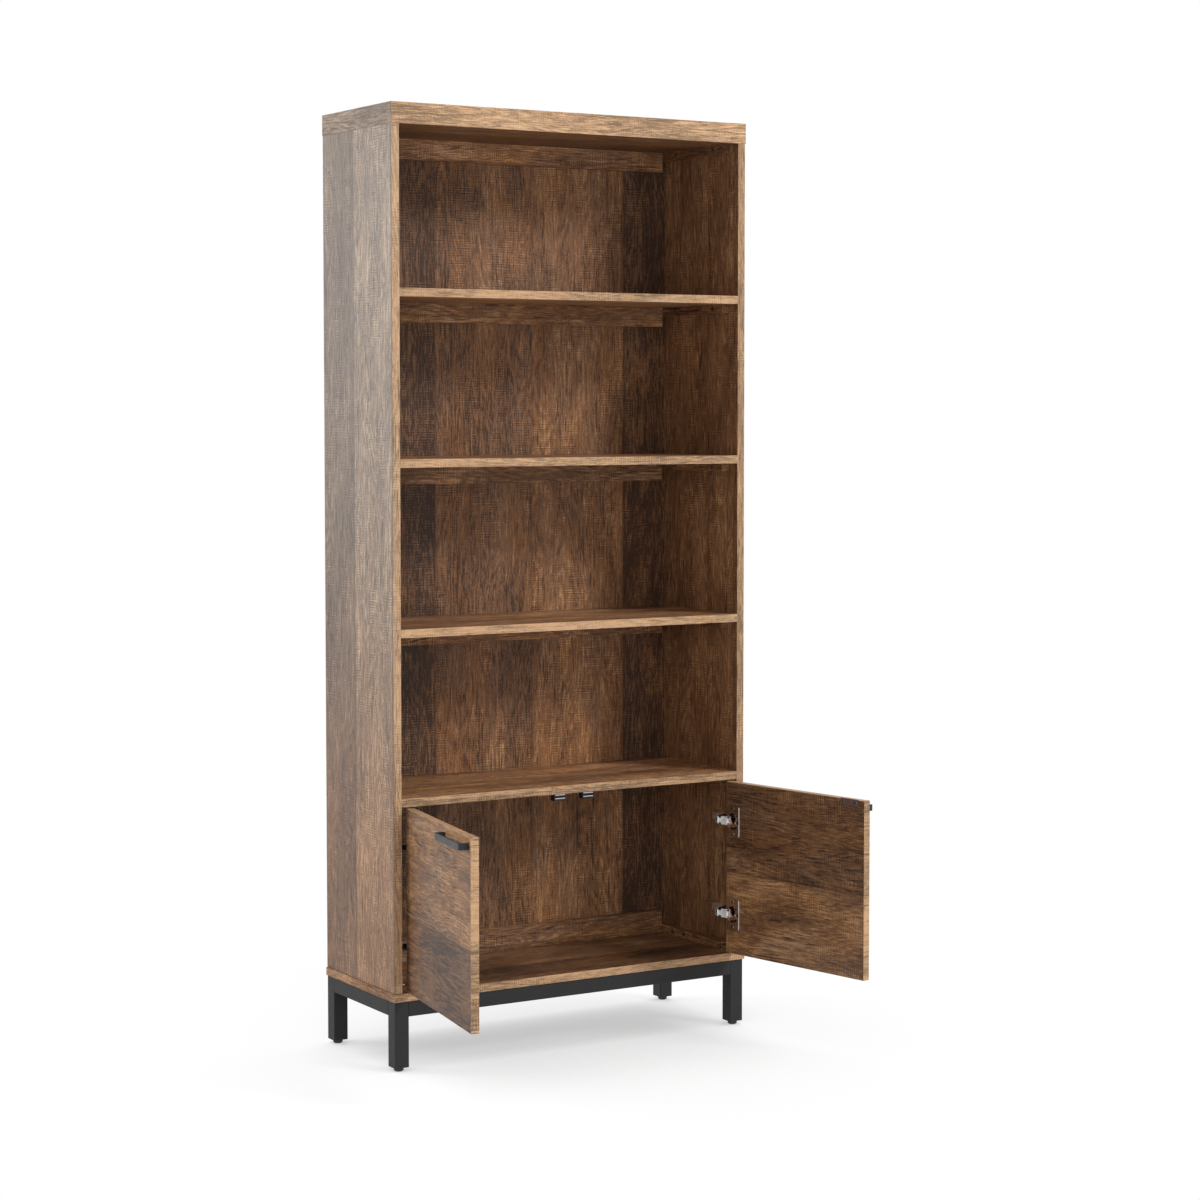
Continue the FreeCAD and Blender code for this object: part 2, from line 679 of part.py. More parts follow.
def build_carcass():
    """Boards, back and rails, cut for whatever passes into them."""
    dowels = dowel_set(BORE_FIT, DOWEL_BORE_ROOM)
    groove = back_slab(GROOVE_DEPTH, FIT)
    nodes["top_board"] = top_board().cut(dowels + [groove])
    nodes["bottom_board"] = bottom_board().cut(dowels + [groove])
    for side in SIDES:
        nodes[side + "_side_panel"] = side_panel(side).cut(dowels + [groove])
    nodes["back_panel"] = back_slab(GROOVE_DEPTH - GROOVE_ROOM, 0.0)
    nodes["dowels"] = dowel_set()
    for name, bottom in zip(SHELF_NAMES, SHELF_BOTTOMS):
        nodes[name] = shelf(bottom)
        nodes[name + "_back_rail"] = back_rail((bottom - RAIL_HEIGHT, bottom))
    nodes["top_back_rail"] = back_rail((TOP_BOTTOM - RAIL_HEIGHT, TOP_BOTTOM))
    nodes["floor_back_rail"] = back_rail((FLOOR_TOP, FLOOR_TOP + FLOOR_RAIL_HEIGHT))


def write_nodes():
    """One STEP file for each node, as a compound where a node is several solids."""
    for name, shape in sorted(nodes.items()):
        if isinstance(shape, list):
            shape = Part.makeCompound(shape)
        shape.exportStep("parts/" + name + ".step")


def main():
    build_carcass()
    build_cleats()
    build_base()
    build_doors()
    build_catches()
    write_nodes()


main()
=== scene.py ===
import json
import math

import bmesh
import bpy
from mathutils import Matrix, Vector


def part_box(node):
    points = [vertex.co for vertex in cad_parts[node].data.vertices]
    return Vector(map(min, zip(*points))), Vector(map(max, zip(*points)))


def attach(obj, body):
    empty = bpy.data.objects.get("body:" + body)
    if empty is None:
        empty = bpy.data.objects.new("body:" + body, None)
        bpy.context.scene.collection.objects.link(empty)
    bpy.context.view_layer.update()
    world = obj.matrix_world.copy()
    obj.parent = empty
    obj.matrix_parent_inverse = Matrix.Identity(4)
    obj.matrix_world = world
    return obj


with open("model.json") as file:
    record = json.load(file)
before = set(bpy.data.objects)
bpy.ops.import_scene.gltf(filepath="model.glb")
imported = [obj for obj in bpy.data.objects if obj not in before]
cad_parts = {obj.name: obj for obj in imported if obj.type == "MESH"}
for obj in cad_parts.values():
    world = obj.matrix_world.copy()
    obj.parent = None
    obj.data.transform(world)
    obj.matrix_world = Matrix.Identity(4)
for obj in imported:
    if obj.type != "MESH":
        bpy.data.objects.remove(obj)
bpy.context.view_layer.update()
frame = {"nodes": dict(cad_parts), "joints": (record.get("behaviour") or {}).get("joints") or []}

bl_info = {
    "name": "Bookcase with cabinet doors",
    "version": (1, 0, 0),
    "blender": (4, 5, 0),
    "location": "View3D > Sidebar > Bookcase",
    "description": "Finishes, screws and stage for a bookcase with cabinet doors",
    "category": "Object",
}

MM = 0.001
SIDES = ("left", "right")
# From the bottom up, each with a pair of cleats and a rail at the back.
LEVELS = ("floor", "cabinet_shelf", "lower_shelf", "middle_shelf", "upper_shelf", "top")
BOARD = 16 * MM             # thickness of the boards, the doors and the cleats
INNER_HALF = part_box("right_side_panel")[0].x
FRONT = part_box("right_side_panel")[0].y
JOINTS = {joint["name"]: joint for joint in frame["joints"]}

# A link turns this much for each turn of its door, so the door joint, which is
# counted from the link, has the sum of both in its range.
LINK_TURN = 0.531
# With the door closed: how far a cup's pin and centre lie inboard of the side panel,
# and how far the pin lies in front of the carcass.
CUP_PIN = (9.5 * MM, -12.5 * MM)
CUP_CENTRE = 23 * MM
HINGE_HEIGHTS = (233.5 * MM, 423.5 * MM)
FLANGE_HIGHLIGHT = 1.8 * MM     # width of the painted highlight, a pale edge, along a cup flange's free side
CUP_MOUTH = 0.5 * MM        # how deep in the door the inside of a cup starts, where its painted shade begins

# Where the screws stand: on the cleats from front to back, on the plates behind the
# front edge of the carcass, elsewhere to both sides of the middle of the fitting.
CLEAT_SCREWS = (-80 * MM, 60 * MM)
FLOOR_CLEAT_SCREWS = (-118 * MM, 24 * MM, 67 * MM)
PLATE_SCREWS = (37 * MM, 69 * MM)
FLANGE_SCREWS = (-26 * MM, 26 * MM)
STRIKE_SCREWS = (-15.7 * MM, 15.7 * MM)
CATCH_SCREWS = (-19.5 * MM, 19.5 * MM)

# What their heads rest on, and how large they are on the catches.
PLATE_RISE = 3 * MM         # a mounting plate's face, off the side panel
FLANGE_RISE = 1.2 * MM      # a cup flange's face, off the door
STRIKE_SEAT = 0.15 * MM     # in front of the middle of a strike plate
CATCH_EAR = 2.5 * MM        # thickness of the ears of a catch
CATCH_HALF = 25 * MM        # from the outer end of a catch to its middle
CATCH_HEAD = 5 * MM

# Widths of the printed planks where their seams have to fall in set places, how little
# those widths vary, and the distance between two saw strokes.
DOOR_PLANK = 230 * MM
BACK_PLANK = 220 * MM
SIDE_PLANK = 160 * MM
SET_PLANKS = 0.05
SAW_PITCH = 5 * MM

# The outer sides carry painted sheen, as from light glancing off them: how bright, grey and
# green their print is painted at the top, how bright it is at the foot, which is painted shade,
# and between which heights it changes.
SHEEN_SHADE = 1.18
SHEEN_GREY = 0.48
SHEEN_GREEN = 1.05
FOOT_SHADE = 0.9
SHEEN_HEIGHTS = (0.1, 1.2)

# How much the print turns from warm to cold, less on the outer sides under their painted sheen,
# and its two tones on an edge band.
HUE_CAST = 0.7
SHEEN_CAST = 0.12
BAND_TONES = (0.42, 1.5)

# Grains of each figure per metre, along the boards and across them.
FIGURES = {
    "wander": (3.0, 9.0),
    "streak": (6.0, 170.0),
    "fibre": (32.0, 480.0),
    "smoke": (4.0, 15.0),
    "speckle": (260.0, 300.0),
    "rings": (1.8, 10.0),
    "cracks": (14.0, 280.0),
    "knots": (4.0, 14.0),
    "saw patches": (7.0, 22.0),
    "saw gaps": (90.0, 26.0),
    "saw bow": (24.0, 14.0),
    "saw strokes": (340.0, 24.0),
    "hue": (5.0, 12.0),
    "finish clouds": (60.0, 60.0),
    "finish grain": (900.0, 900.0),
}

# How much each figure changes the tone of the print, and the mean of the rings.
SHARES = {
    "plank": 0.5,
    "streak": 1.05,
    "smoke": 1.7,
    "speckle": 0.7,
    "fibre": 0.2,
    "rings": -0.26,
    "saw": 0.19,
    "cracks": -0.6,
}
RINGS_MEAN = 0.2308

# The floor's half width, the reach and the two tones of the soft shadow on it, how much
# of the lamps' light it shows where it is seen directly, and between which distances it
# fades to white.
FLOOR_HALF = 14.0
SHADOW_REACH = 0.9
SHADOW_TONES = (0.505, 0.86)
LIT_SHARE = 0.2
FLOOR_FADE = (0.6, 1.4)

# The light from all round, and for each lamp its place, target, diameter and power.
AMBIENT = 0.29
LAMPS = {
    "Key": ((5.0, -7.4, 6.2), (0, 0, 0.9), 2.6, 590),
    "Fill": ((-2.4, -4.0, 1.8), (0, 0, 0.8), 2.6, 48),
    "Side": ((-2.9, 1.8, 1.75), (-0.4, 0, 1.1), 1.6, 70),
    "Overhead": ((0.2, 0.6, 4.2), (0, 0, 0), 3.4, 45),
}

# The camera, tilted from looking straight down and turned from looking along Y.
CAMERA_PLACE = (-2.6776, -4.6843, 1.2649)
CAMERA_TILT = math.radians(86.768)
CAMERA_TURN = math.radians(-31.081)
CAMERA_SHIFT = -0.035


# -------------------------------------------------------------------- settings

class LaminateSettings(bpy.types.PropertyGroup):
    """Colours and scale of the saw-marked oak laminate"""

    light: bpy.props.FloatVectorProperty(
        name="Light grain", description="Colour of the palest grain", subtype="COLOR",
        default=(0.52, 0.290, 0.138), min=0, max=1)
    middle: bpy.props.FloatVectorProperty(
        name="Middle grain", description="Colour between the streaks", subtype="COLOR",
        default=(0.168, 0.081, 0.038), min=0, max=1)
    dark: bpy.props.FloatVectorProperty(
        name="Dark grain", description="Colour of the smoky patches", subtype="COLOR",
        default=(0.034, 0.017, 0.010), min=0, max=1)
    edge: bpy.props.FloatVectorProperty(
        name="Edge band", description="Colour of the bands on the board edges", subtype="COLOR",
        default=(0.40, 0.245, 0.135), min=0, max=1)
    plank_width: bpy.props.FloatProperty(
        name="Plank width", description="Mean width of the printed planks", subtype="DISTANCE",
        unit="LENGTH", default=0.085, min=0.02, max=0.3)


class MetalSettings(bpy.types.PropertyGroup):
    """Colours of the base, the handles and the fittings"""

    base: bpy.props.FloatVectorProperty(
        name="Base", description="Powder coat of the base", subtype="COLOR",
        default=(0.016, 0.016, 0.0165), min=0, max=1)
    handle: bpy.props.FloatVectorProperty(
        name="Handles", description="Paint of the handles", subtype="COLOR",
        default=(0.013, 0.016, 0.020), min=0, max=1)
    nickel: bpy.props.FloatVectorProperty(
        name="Nickel", description="Plating of the hinges", subtype="COLOR",
        default=(0.72, 0.71, 0.69), min=0, max=1)


class ScrewSettings(bpy.types.PropertyGroup):
    """Sizes of the screw heads"""

    cleat_head: bpy.props.FloatProperty(
        name="Cleat screw head", description="Diameter on the cleats", subtype="DISTANCE",
        unit="LENGTH", default=0.008, min=0.003, max=0.012)
    small_head: bpy.props.FloatProperty(
        name="Small screw head", description="Diameter on the fittings", subtype="DISTANCE",
        unit="LENGTH", default=0.0064, min=0.002, max=0.01)


class StageSettings(bpy.types.PropertyGroup):
    """Floor, light and camera"""

    floor: bpy.props.FloatVectorProperty(
        name="Floor", description="Colour of the floor", subtype="COLOR",
        default=(0.86, 0.86, 0.86), min=0, max=1)
    lens: bpy.props.FloatProperty(
        name="Lens", description="Focal length on a 36 mm sensor", subtype="DISTANCE_CAMERA",
        default=81.06, min=20, max=200)


# ---------------------------------------------------------------- node helpers

def fill(tree, node, inputs):
    """Link each input of a node, or set it."""
    for key, value in inputs.items():
        if isinstance(value, bpy.types.NodeSocket):
            tree.links.new(value, node.inputs[key])
        else:
            node.inputs[key].default_value = value


def add(tree, kind, inputs=None, **settings):
    """A node with its settings, and its inputs set or linked."""
    node = tree.nodes.new(kind)
    for key, value in settings.items():
        setattr(node, key, value)
    fill(tree, node, inputs or {})
    return node


def maths(tree, operation, first, second=0.0, third=0.0):
    """The result of a sum on two or three values."""
    node = add(tree, "ShaderNodeMath", {0: first, 1: second, 2: third}, operation=operation)
    return node.outputs[0]


def blend(tree, factor, first, second, mode="MIX"):
    """A colour between two, mixed by a factor."""
    inputs = {"Factor": factor, 6: first, 7: second}
    node = add(tree, "ShaderNodeMix", inputs, data_type="RGBA", blend_type=mode)
    return node.outputs[2]


def ramp(tree, value, low, high, start=0.0, end=1.0):
    """A value carried smoothly from (low, high) to (start, end)."""
    inputs = {"Value": value, "From Min": low, "From Max": high, "To Min": start, "To Max": end}
    node = add(tree, "ShaderNodeMapRange", inputs, interpolation_type="SMOOTHSTEP")
    return node.outputs["Result"]


def noise(tree, vector, grains, detail=3.0, roughness=0.55, distortion=0.0):
    """Noise with so many grains per metre along the boards and across them."""
    along, across = grains
    scale = (along, across, across)
    scaled = add(tree, "ShaderNodeMapping", {"Vector": vector, "Scale": scale})
    inputs = {
        "Vector": scaled.outputs[0], "Scale": 1.0, "Detail": detail,
        "Roughness": roughness, "Distortion": distortion,
    }
    return add(tree, "ShaderNodeTexNoise", inputs).outputs[0]


def new_group(name, inputs, outputs):
    """An empty shader node group with its sockets, given as (name, type, default)."""
    tree = bpy.data.node_groups.new(name, "ShaderNodeTree")
    for label, kind, default in inputs:
        socket = tree.interface.new_socket(label, in_out="INPUT", socket_type=kind)
        if default is not None:
            socket.default_value = default
    for label, kind in outputs:
        tree.interface.new_socket(label, in_out="OUTPUT", socket_type=kind)
    return tree, tree.nodes.new("NodeGroupInput").outputs


def finish_group(tree, values):
    """Link what a node group gives to its outputs."""
    output = tree.nodes.new("NodeGroupOutput")
    for label, socket in values.items():
        tree.links.new(socket, output.inputs[label])
    return tree


def new_material(name):
    """A material without nodes, and its node tree."""
    material = bpy.data.materials.new(name)
    material.use_nodes = True
    material.node_tree.nodes.clear()
    return material, material.node_tree


def finish_material(tree, inputs):
    """End a material in a Principled shader with these inputs."""
    shader = add(tree, "ShaderNodeBsdfPrincipled", inputs)
    add(tree, "ShaderNodeOutputMaterial", {"Surface": shader.outputs[0]})


# ---------------------------------------------------------------------- places

def open_angle(side):
    """How far a door stands open at rest, in degrees."""
    low, high = JOINTS[side + "_door_hinge"]["range_deg"]
    return max(-low, high) / (1 + LINK_TURN)


def panel_inward(side):
    """Which way the inner face of a side panel looks."""
    return Vector((-1 if side == "right" else 1, 0, 0))


def on_panel(side, inboard, y, height):
    """A place this far inboard of a side panel's inner face."""
    x = INNER_HALF - inboard
    return Vector((x if side == "right" else -x, y, height))


def on_door(side, inboard, forward, height):
    """Where a place on a closed door has gone now that the door is open."""
    pin = Vector(JOINTS[side + "_door_hinge"]["pos_m"])
    offset = Vector((inboard - CUP_PIN[0], forward - CUP_PIN[1], 0))
    offset.rotate(Matrix.Rotation(math.radians(open_angle(side)), 3, "Z"))
    x = -offset.x if side == "right" else offset.x
    return Vector((pin.x + x, pin.y - offset.y, height))


def door_inward(side):
    """Which way the inner face of an open door looks."""
    return (on_door(side, 0, -1, 0) - on_door(side, 0, 0, 0)).normalized()


def along_door(side):
    """Which way an open door runs from its hinges to its free side."""
    return (on_door(side, 1, 0, 0) - on_door(side, 0, 0, 0)).normalized()


# -------------------------------------------------------------------- laminate

def board_faces_group():
    """Turns a place on a board into (along, across, through) the printed grain.

    The board lies along X, with Y across it and Z through it. Its ends and edges
    are banded, so the grain there runs the long way of the band.
    """
    inputs = [
        ("Position", "NodeSocketVector", None),
        ("Normal", "NodeSocketVector", None),
        ("Upright Ends", "NodeSocketFloat", 0.0),
    ]
    outputs = [("Grain", "NodeSocketVector"), ("End", "NodeSocketFloat"),
               ("Edge", "NodeSocketFloat")]
    tree, given = new_group("Board faces", inputs, outputs)
    place = add(tree, "ShaderNodeSeparateXYZ", {0: given["Position"]}).outputs
    normal = add(tree, "ShaderNodeSeparateXYZ", {0: given["Normal"]}).outputs
    square_on = 0.7
    end = maths(tree, "GREATER_THAN", maths(tree, "ABSOLUTE", normal[0]), square_on)
    edge = maths(tree, "GREATER_THAN", maths(tree, "ABSOLUTE", normal[1]), square_on)
    face = add(tree, "ShaderNodeCombineXYZ", {0: place[0], 1: place[1], 2: place[2]})
    on_edge = add(tree, "ShaderNodeCombineXYZ", {0: place[0], 1: place[2], 2: place[1]})
    on_end = add(tree, "ShaderNodeCombineXYZ", {0: place[1], 1: place[2], 2: place[0]})
    upright_end = add(tree, "ShaderNodeCombineXYZ", {0: place[2], 1: place[1], 2: place[0]})

    def choose(factor, first, second):
        """A place between two, mixed by a factor."""
        inputs = {"Factor": factor, 4: first, 5: second}
        return add(tree, "ShaderNodeMix", inputs, data_type="VECTOR").outputs[1]

    ends = choose(given["Upright Ends"], on_end.outputs[0], upright_end.outputs[0])
    grain = choose(edge, face.outputs[0], on_edge.outputs[0])
    grain = choose(end, grain, ends)
    return finish_group(tree, {"Grain": grain, "End": end, "Edge": edge})


def sawn_oak_group():
    """Printed oak planks with streaks, smoky patches, saw marks and cracks."""
    inputs = [
        ("Grain", "NodeSocketVector", None),
        ("Light", "NodeSocketColor", (0.4, 0.25, 0.14, 1)),
        ("Middle", "NodeSocketColor", (0.2, 0.12, 0.06, 1)),
        ("Dark", "NodeSocketColor", (0.07, 0.04, 0.02, 1)),
        ("Plank Width", "NodeSocketFloat", 0.085),
        ("Plank Variety", "NodeSocketFloat", 0.75),
        ("Plank Contrast", "NodeSocketFloat", 1.0),
        ("Saw Marks", "NodeSocketFloat", 1.0),
        ("Smoke", "NodeSocketFloat", 1.0),
        ("Hue Cast", "NodeSocketFloat", 0.7),
    ]
    outputs = [("Color", "NodeSocketColor"), ("Tone", "NodeSocketFloat"),
               ("Roughness", "NodeSocketFloat"), ("Height", "NodeSocketFloat")]
    tree, given = new_group("Sawn oak", inputs, outputs)
    grain = given["Grain"]
    across = add(tree, "ShaderNodeSeparateXYZ", {0: grain}).outputs[1]
    plank_number = maths(tree, "DIVIDE", across, given["Plank Width"])
    cells = {"W": plank_number, "Scale": 1.0, "Randomness": given["Plank Variety"]}
    plank = add(tree, "ShaderNodeTexVoronoi", cells, voronoi_dimensions="1D")
    plank_tone = add(tree, "ShaderNodeSeparateColor", {0: plank.outputs["Color"]}).outputs
    seams = add(tree, "ShaderNodeTexVoronoi", cells, voronoi_dimensions="1D",
                feature="DISTANCE_TO_EDGE")
    seam = ramp(tree, seams.outputs["Distance"], 0.0, 0.03, 1.0, 0.0)

    # each plank has its own stretch of the grain, and the grain wanders
    jump = maths(tree, "MULTIPLY", plank_tone[0], 9.0)
    own = add(tree, "ShaderNodeCombineXYZ", {0: jump, 1: 0.0, 2: jump})
    shifted = add(tree, "ShaderNodeVectorMath", {0: grain, 1: own.outputs[0]}).outputs[0]
    wander = noise(tree, shifted, FIGURES["wander"], 2.0)
    wander = maths(tree, "MULTIPLY_ADD", wander, 0.03, -0.015)
    aside = add(tree, "ShaderNodeCombineXYZ", {0: 0.0, 1: wander, 2: wander})
    bent = add(tree, "ShaderNodeVectorMath", {0: shifted, 1: aside.outputs[0]}).outputs[0]

    streak = noise(tree, bent, FIGURES["streak"], 4.0, 0.7)
    fibre = noise(tree, bent, FIGURES["fibre"], 3.0, 0.65)
    smoke = noise(tree, shifted, FIGURES["smoke"], 5.0, 0.65)
    speckle = noise(tree, shifted, FIGURES["speckle"], 2.0, 0.6)
    rings = noise(tree, bent, FIGURES["rings"], 2.0, 0.4)
    rings = maths(tree, "SINE", maths(tree, "MULTIPLY", rings, 190.0))
    rings = maths(tree, "MULTIPLY", ramp(tree, rings, -0.6, 1.0), ramp(tree, streak, 0.4, 0.6))
    crack = noise(tree, bent, FIGURES["cracks"], 3.0, 0.6)
    knotty = noise(tree, shifted, FIGURES["knots"], 2.0)

    # the saw has left rows of fine curved strokes across the grain, in patches
    patch = ramp(tree, noise(tree, shifted, FIGURES["saw patches"], 3.0), 0.42, 0.6)
    broken = ramp(tree, noise(tree, shifted, FIGURES["saw gaps"], 3.0, 0.6), 0.34, 0.6)
    along = add(tree, "ShaderNodeSeparateXYZ", {0: shifted}).outputs[0]
    bow = maths(tree, "MULTIPLY", noise(tree, shifted, FIGURES["saw bow"], 3.0, 0.5), 9.0)
    phase = maths(tree, "MULTIPLY_ADD", along, 2 * math.pi / SAW_PITCH, bow)
    rows = ramp(tree, maths(tree, "SINE", phase), -0.9, 0.5, -1.0, 1.0)
    strokes = noise(tree, shifted, FIGURES["saw strokes"], 2.0, 0.6, 0.2)
    saw = maths(tree, "MULTIPLY_ADD", rows, 0.8, ramp(tree, strokes, 0.38, 0.6, -0.6, 0.6))

    saw_mark = maths(tree, "MULTIPLY", saw, maths(tree, "MULTIPLY", patch, broken))
    saw_mark = maths(tree, "MULTIPLY", saw_mark, given["Saw Marks"])

    # the tone is 0.5 plus a share of each figure, counted from that figure's middle
    own_tone = maths(tree, "SUBTRACT", plank_tone[1], 0.5)
    smoky = maths(tree, "SUBTRACT", smoke, 0.5)
    tone = 0.5
    for name, figure in {
            "plank": maths(tree, "MULTIPLY", own_tone, given["Plank Contrast"]),
            "streak": maths(tree, "SUBTRACT", streak, 0.5),
            "smoke": maths(tree, "MULTIPLY", smoky, given["Smoke"]),
            "speckle": maths(tree, "SUBTRACT", speckle, 0.5),
            "fibre": ramp(tree, fibre, 0.37, 0.63, -1.0, 1.0),
            "rings": maths(tree, "SUBTRACT", rings, RINGS_MEAN),
            "saw": saw_mark}.items():
        tone = maths(tree, "MULTIPLY_ADD", figure, SHARES[name], tone)

    color = blend(tree, ramp(tree, tone, -0.05, 0.5), given["Dark"], given["Middle"])
    color = blend(tree, ramp(tree, tone, 0.45, 1.3), color, given["Light"])
    cracked = maths(tree, "MULTIPLY_ADD", maths(tree, "SUBTRACT", knotty, 0.5), 0.35, crack)
    cracked = maths(tree, "MULTIPLY", ramp(tree, cracked, 0.6, 0.67), 0.9)
    cracked = maths(tree, "MAXIMUM", cracked, maths(tree, "MULTIPLY", seam, 0.35))
    hue = ramp(tree, noise(tree, shifted, FIGURES["hue"], 3.0), 0.35, 0.65)
    cast = blend(tree, hue, (0.92, 0.98, 1.12, 1), (1.08, 1.0, 0.84, 1))
    color = blend(tree, given["Hue Cast"], color, cast, "MULTIPLY")
    color = blend(tree, cracked, color, given["Dark"])

    height = maths(tree, "MULTIPLY_ADD", saw_mark, 0.35, maths(tree, "MULTIPLY", fibre, 0.5))
    height = maths(tree, "SUBTRACT", height, cracked)
    roughness = maths(tree, "MULTIPLY_ADD", streak, -0.15, 0.56)
    tone = maths(tree, "MULTIPLY_ADD", cracked, SHARES["cracks"], tone)
    return finish_group(
        tree, {"Color": color, "Tone": tone, "Roughness": roughness, "Height": height})


def tinted(colour, shade, grey=0.0):
    """A colour made darker or lighter, and partly grey."""
    mean = sum(colour) / 3
    return [shade * ((1 - grey) * part + grey * mean) for part in colour] + [1]


def facing_mask(tree, coordinate, direction, beyond):
    """One where a coordinate reaches far enough in a direction, and nought elsewhere."""
    place = add(tree, "ShaderNodeTexCoord").outputs[coordinate]
    reach = add(tree, "ShaderNodeVectorMath", {0: place, 1: direction}, operation="DOT_PRODUCT")
    return maths(tree, "GREATER_THAN", reach.outputs["Value"], beyond)


def board_colour(tree, colour, shade, sheen_side):
    """A colour of the print, with painted sheen on a board's outer side: paler and greyer
    towards the top, and painted shade, darker, at the foot.
    """
    plain = tinted(colour, shade)
    if not sheen_side:
        return plain
    place = add(tree, "ShaderNodeTexCoord").outputs["Object"]
    height = add(tree, "ShaderNodeSeparateXYZ", {"Vector": place}).outputs["Z"]
    pale = tinted(colour, SHEEN_SHADE, SHEEN_GREY)
    pale[1] *= SHEEN_GREEN
    foot = tinted(colour, FOOT_SHADE * shade)
    # painted sheen at the top of the outer side, fading to painted shade at its foot
    outer = blend(tree, ramp(tree, height, *SHEEN_HEIGHTS), foot, pale)
    return blend(tree, facing_mask(tree, "Normal", sheen_side, 0.5), plain, outer)


def laminate_material(name, turn=(0, 0, 0), shift=(0, 0, 0), bands=None, upright_ends=0.0,
                      planks=1.0, saw=1.0, smoke=1.0, shade=1.0, width=None, variety=0.75,
                      specular=0.25, sheen_side=None):
    """The laminate on one kind of board, turned so that its grain lies along X.

    The bands are named by the face they cover, each with how grey and how bright it is.
    A board can carry painted sheen, paler and greyer above and darker below, on the side that
    faces a direction.
    """
    settings = bpy.context.scene.laminate
    material, tree = new_material(name)
    place = add(tree, "ShaderNodeTexCoord").outputs
    position = add(tree, "ShaderNodeMapping",
                   {"Vector": place["Object"], "Location": shift, "Rotation": turn})
    normal = add(tree, "ShaderNodeMapping", {"Vector": place["Normal"], "Rotation": turn},
                 vector_type="VECTOR")
    faces = add(tree, "ShaderNodeGroup", node_tree=bpy.data.node_groups["Board faces"])
    fill(tree, faces, {"Position": position.outputs[0], "Normal": normal.outputs[0],
                       "Upright Ends": upright_ends})
    oak = add(tree, "ShaderNodeGroup", node_tree=bpy.data.node_groups["Sawn oak"])
    fill(tree, oak, {
        "Grain": faces.outputs["Grain"],
        "Light": board_colour(tree, settings.light, shade, sheen_side),
        "Middle": board_colour(tree, settings.middle, shade, sheen_side),
        "Dark": board_colour(tree, settings.dark, shade, sheen_side),
        "Plank Width": width or settings.plank_width, "Plank Variety": variety,
        "Plank Contrast": planks, "Saw Marks": saw, "Smoke": smoke,
        "Hue Cast": SHEEN_CAST if sheen_side else HUE_CAST,
    })
    color = oak.outputs["Color"]
    tone = ramp(tree, oak.outputs["Tone"], -0.1, 1.1)
    for face, (grey, lift) in ({"Edge": (0.0, 1.0)} if bands is None else bands).items():
        dim, bright = [tinted(settings.edge, level * lift, grey) for level in BAND_TONES]
        color = blend(tree, faces.outputs[face], color, blend(tree, tone, dim, bright))
    bump = add(tree, "ShaderNodeBump", {
        "Height": oak.outputs["Height"], "Strength": 0.35, "Distance": 0.4 * MM})
    finish_material(tree, {
        "Base Color": color, "Roughness": oak.outputs["Roughness"], "Normal": bump.outputs[0],
        "Specular IOR Level": specular,
    })
    return material


def dress(material, *nodes):
    """Give CAD nodes a material."""
    for name in nodes:
        mesh = frame["nodes"][name].data
        mesh.materials.clear()
        mesh.materials.append(material)


class BOOKCASE_OT_carcass(bpy.types.Operator):
    """Lay the laminate on the carcass boards, rails and cleats"""
    bl_idname = "bookcase.carcass"
    bl_label = "Carcass boards"

    def execute(self, context):
        quarter = math.radians(90)
        upright = (0, quarter, 0)
        facing = (quarter, 0, quarter)
        # a seam between two planks of good tones falls at a set place on the board
        side_seam = 9.5 * SIDE_PLANK - 10 * MM
        back_seam = 23.5 * BACK_PLANK + 168 * MM
        # both side panels carry painted sheen and painted shade on their outer faces
        dress(laminate_material(
            "Left panel laminate", upright, (0.3, side_seam, 0), saw=0.9, smoke=0.5, shade=1.15,
            width=SIDE_PLANK, variety=SET_PLANKS, specular=0.5,
            sheen_side=-panel_inward("left")), "left_side_panel")
        dress(laminate_material(
            "Right panel laminate", upright, (1.7, 0.2, 0), planks=0.5, smoke=0.6, shade=1.15,
            sheen_side=-panel_inward("right")), "right_side_panel")
        dress(laminate_material(
            "Back laminate", facing, (0.9, back_seam, 0), {}, planks=1.8, smoke=0.7, shade=1.35,
            width=BACK_PLANK, variety=SET_PLANKS), "back_panel")
        # the top's ends are printed greyer, painted sheen like that on the outer sides of the
        # side panels
        dress(laminate_material(
            "Top laminate", shift=(0.2, 0.4, 0), bands={"Edge": (0.0, 1.3), "End": (0.4, 0.8)},
            planks=0.6, saw=0.5, smoke=0.8), "top_board")
        dress(laminate_material("Bottom laminate", shift=(0.5, 0.1, 0)), "bottom_board")
        # the shelves are printed lighter than the bottom board, painted sheen on their tops
        dress(laminate_material("Shelf laminate", shift=(0.8, 0.3, 0), shade=1.55),
              *[level for level in LEVELS if level.endswith("shelf")])
        dress(laminate_material("Rail laminate", shift=(0, 0.7, 0), bands={}, shade=1.15),
              *[level + "_back_rail" for level in LEVELS if level != "top"])
        # the top rail is printed lighter than the other rails, painted light where the lamps
        # fall on it
        dress(laminate_material("Top rail laminate", shift=(0.4, 0.2, 0), bands={}, shade=1.7),
              "top_back_rail")
        dress(laminate_material("Cleat laminate", (0, 0, quarter), bands={}),
              *[level + "_cleats" for level in LEVELS])
        dress(plain_material("Beech", (0.55, 0.38, 0.2), 0.6, grain=0.3), "dowels")
        return {"FINISHED"}


